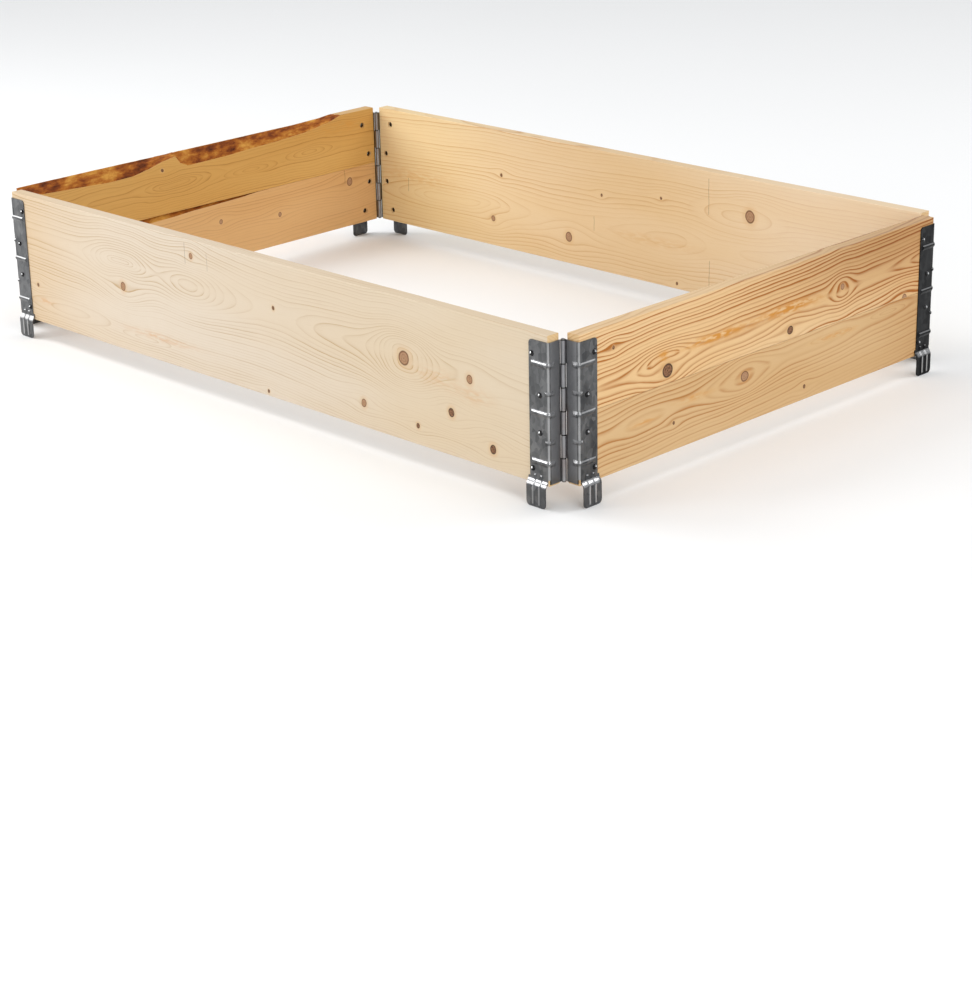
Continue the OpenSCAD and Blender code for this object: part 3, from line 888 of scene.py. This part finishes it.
back_wood = Timber(
    "back_wood", RUN_X, (0.0, -1.0, 0.0), -HALF_WIDTH, THICKNESS,
    pale=(0.79, 0.60, 0.38), deep=(0.76, 0.55, 0.31), late=(0.52, 0.245, 0.07),
    contrast=1.0, spacing=6.0, seed=21.0, warp=22.0,
    pith=Pith(-125.0, 0.03, 28.0, 0.35),
    knots=[
        Knot((-120, -155), 8.0, reach=3.5), Knot((259, -58), 10.0, reach=3.5), Knot((-295, -153), 5.0),
        Knot((-274, -75), 3.0, dead=True), Knot((-47, -73), 2.5, dead=True),
        Knot((79, -58), 2.5, dead=True), Knot((114, -191), 2.5, dead=True),
    ],
    whorls=[Whorl(-390, 120, 28)],
    flames=[Flame((235, -62), (85, 24), 2.5)],
    streaks=[Streak((-480, -110), (90, 14), 0.3), Streak((60, -130), (80, 8), 0.25)],
    tints=[
        Tint((480, -100), (280, 400), (1.06, 1.14, 1.34)),
        Tint((0, -120), (240, 300), (0.89, 0.85, 0.78)),
        Tint((-500, -90), (200, 300), (1.09, 1.11, 0.96)),
    ],
    calms=[Calm((430, -90), (210, 300), 0.65), Calm((70, -138), (95, 34), 0.75)],
    scratches=[
        Scratch(177, -68, -11), Scratch(180, -189, -142),
        Scratch(-64, -135, -111), Scratch(-503, -139, -115),
    ],
)

# The leaves' places and the strengths of their painted highlights
LONG_FACES = leaf_faces(RUN_X, RUN_Y, HALF_LENGTH, HALF_WIDTH, wear=0.55)
SHORT_FACES = leaf_faces(RUN_Y, RUN_X, HALF_WIDTH, HALF_LENGTH, wear=0.35, step_wear=2.4, step_from=338.0,
                         bead_wear=1.5)
LONG_FINISH = Finish((0.19, 0.192, 0.195), (0.09, 0.092, 0.095), smooth=0.28, dull=0.42)
# Darker than the long leaves' steel: painted shade on the leaves of the side walls
SHORT_SHADED_FINISH = Finish((0.155, 0.157, 0.16), (0.06, 0.062, 0.065), smooth=0.28, dull=0.42)
# Near black: painted shade on the back right leaf
SHADED_FINISH = Finish((0.032, 0.033, 0.034), (0.011, 0.011, 0.012), smooth=0.30, dull=0.45)
PIN_FINISH = Finish((0.30, 0.295, 0.29), (0.17, 0.165, 0.16), smooth=0.26, dull=0.40)
RIVET_FINISH = Finish((0.04, 0.04, 0.041), (0.016, 0.016, 0.017), smooth=0.16, dull=0.26)

LONG_STEEL = leaf_steel("long_leaf_steel", LONG_FINISH, LONG_FACES)
SHORT_STEEL = leaf_steel("short_leaf_steel", SHORT_SHADED_FINISH, SHORT_FACES)
# The front left leaf with its painted highlights at full strength
HIGHLIT_STEEL = leaf_steel("painted_highlight_leaf_steel", LONG_FINISH, replace(LONG_FACES, wear=1.0, polish=1.3))
# Painted shade: the back right leaf's steel
SHADED_STEEL = leaf_steel("painted_shade_leaf_steel", SHADED_FINISH, replace(SHORT_FACES, step_wear=1.6))
PIN_STEEL = Sheet("pin_steel", PIN_FINISH).done()
LONG_RIVET, SHORT_RIVET = (
    leaf_steel(name, RIVET_FINISH, replace(faces, wear=0.0, inside=TAIL_STEEL), highlit_crowns=True)
    for name, faces in (("long_rivet_steel", LONG_FACES), ("short_rivet_steel", SHORT_FACES)))


def dress(node, material):
    """Puts one material on every face of a node."""
    piece = nodes[node]
    piece.data.materials.clear()
    piece.data.materials.append(material)


for node, timber in (("front_board", front_wood), ("back_board", back_wood),
                     ("left_upper_board", left_upper_wood), ("left_lower_board", left_lower_wood),
                     ("right_upper_board", right_upper_wood), ("right_lower_board", right_lower_wood)):
    dress(node, wood(timber))
LONG_WALLS = ("front", "back")
for node in nodes:
    if "_leaf_" in node:
        dress(node, LONG_STEEL if node.startswith(LONG_WALLS) else SHORT_STEEL)
    if node.startswith("hinge_pin"):
        dress(node, PIN_STEEL)
    if node.startswith("rivets"):
        dress(node, LONG_RIVET if node.removeprefix("rivets_").startswith(LONG_WALLS) else SHORT_RIVET)
# Painted highlights at full strength on the front left leaf
dress("front_leaf_left", HIGHLIT_STEEL)
# Painted shade on the back right leaf
dress("right_leaf_back", SHADED_STEEL)

# Floor and light
FLOOR_REACH = 30.0
FLOOR_COLOURS = ((0.86, 0.86, 0.855), (0.88, 0.88, 0.875))
FLOOR_ROUGHNESS = 0.7
FLOOR_SPECULAR = 0.1
SKY_COLOUR = (0.95, 0.97, 1.0, 1.0)
SKY_STRENGTH = 0.52
SUN_STRENGTH = 0.8
SUN_ANGLE = math.radians(60.0)
AIM = (0.0, 0.0, 0.1)


def floor():
    """A plain pale floor under the lug tips."""
    mesh = bpy.data.meshes.new("floor")
    corners = [(x * FLOOR_REACH, y * FLOOR_REACH, 0.0) for x, y in ((-1, -1), (1, -1), (1, 1), (-1, 1))]
    mesh.from_pydata(corners, [], [(0, 1, 2, 3)])
    piece = bpy.data.objects.new("floor", mesh)
    bpy.context.scene.collection.objects.link(piece)
    surface = Surface("floor")
    cloud = surface.noise(surface.place)
    surface.feed(surface.shader.inputs["Base Color"], surface.mix(cloud, *FLOOR_COLOURS))
    surface.shader.inputs["Roughness"].default_value = FLOOR_ROUGHNESS
    surface.shader.inputs["Specular IOR Level"].default_value = FLOOR_SPECULAR
    mesh.materials.append(surface.material)


def softbox(name, place, size, power):
    """A square area light that looks at the part."""
    lamp = bpy.data.lights.new(name, "AREA")
    lamp.shape = "SQUARE"
    lamp.size = size
    lamp.energy = power
    piece = bpy.data.objects.new(name, lamp)
    piece.location = place
    piece.rotation_euler = (Vector(AIM) - Vector(place)).to_track_quat("-Z", "Y").to_euler()
    bpy.context.scene.collection.objects.link(piece)


def studio():
    """Soft even light: a bright room, a wide soft sun overhead and six boxes."""
    world = bpy.data.worlds.new("studio")
    bpy.context.scene.world = world
    world.use_nodes = True
    sky = world.node_tree.nodes["Background"]
    sky.inputs["Color"].default_value = SKY_COLOUR
    sky.inputs["Strength"].default_value = SKY_STRENGTH
    lamp = bpy.data.lights.new("overhead", "SUN")
    lamp.energy = SUN_STRENGTH
    lamp.angle = SUN_ANGLE
    bpy.context.scene.collection.objects.link(bpy.data.objects.new("overhead", lamp))
    softbox("key_low", (-2.3, -3.7, 1.4), size=1.4, power=44.0)
    softbox("key_high", (-2.2, -1.3, 3.0), size=1.5, power=36.0)
    softbox("fill", (4.4, -1.6, 1.6), size=1.7, power=62.0)
    softbox("back", (1.8, 2.5, 2.85), size=1.3, power=28.0)
    softbox("side", (-2.5, -1.0, 1.35), size=0.9, power=12.0)
    softbox("corner", (2.9, 2.3, 1.8), size=0.5, power=4.0)


# Camera, from a fit to the photograph's frame of 972 by 1000 pixels
FRAME_WIDTH = 972.0
FRAME_HEIGHT = 1000.0
EYE = (2.606977, -2.533166, 1.151457)
AZIMUTH = math.radians(137.08)
ELEVATION = math.radians(-21.053)
ROLL = math.radians(-1.873)
FOCAL = 2486.64
AXIS_X = 410.0


def camera():
    """The photograph's viewpoint."""
    lens = bpy.data.cameras.new("camera")
    lens.lens = FOCAL / FRAME_HEIGHT * lens.sensor_width
    lens.shift_x = (FRAME_WIDTH / 2 - AXIS_X) / FRAME_HEIGHT
    level = math.cos(ELEVATION)
    forward = Vector((level * math.cos(AZIMUTH), level * math.sin(AZIMUTH), math.sin(ELEVATION)))
    side = forward.cross(Vector(UP)).normalized()
    up = side.cross(forward)
    right = math.cos(ROLL) * side + math.sin(ROLL) * up
    top = math.cos(ROLL) * up - math.sin(ROLL) * side
    turn = Matrix((right, top, -forward)).transposed().to_4x4()
    piece = bpy.data.objects.new("camera", lens)
    piece.matrix_world = Matrix.Translation(EYE) @ turn
    bpy.context.scene.collection.objects.link(piece)
    bpy.context.scene.camera = piece


floor()
studio()
camera()
bpy.context.scene.view_settings.view_transform = "Standard"
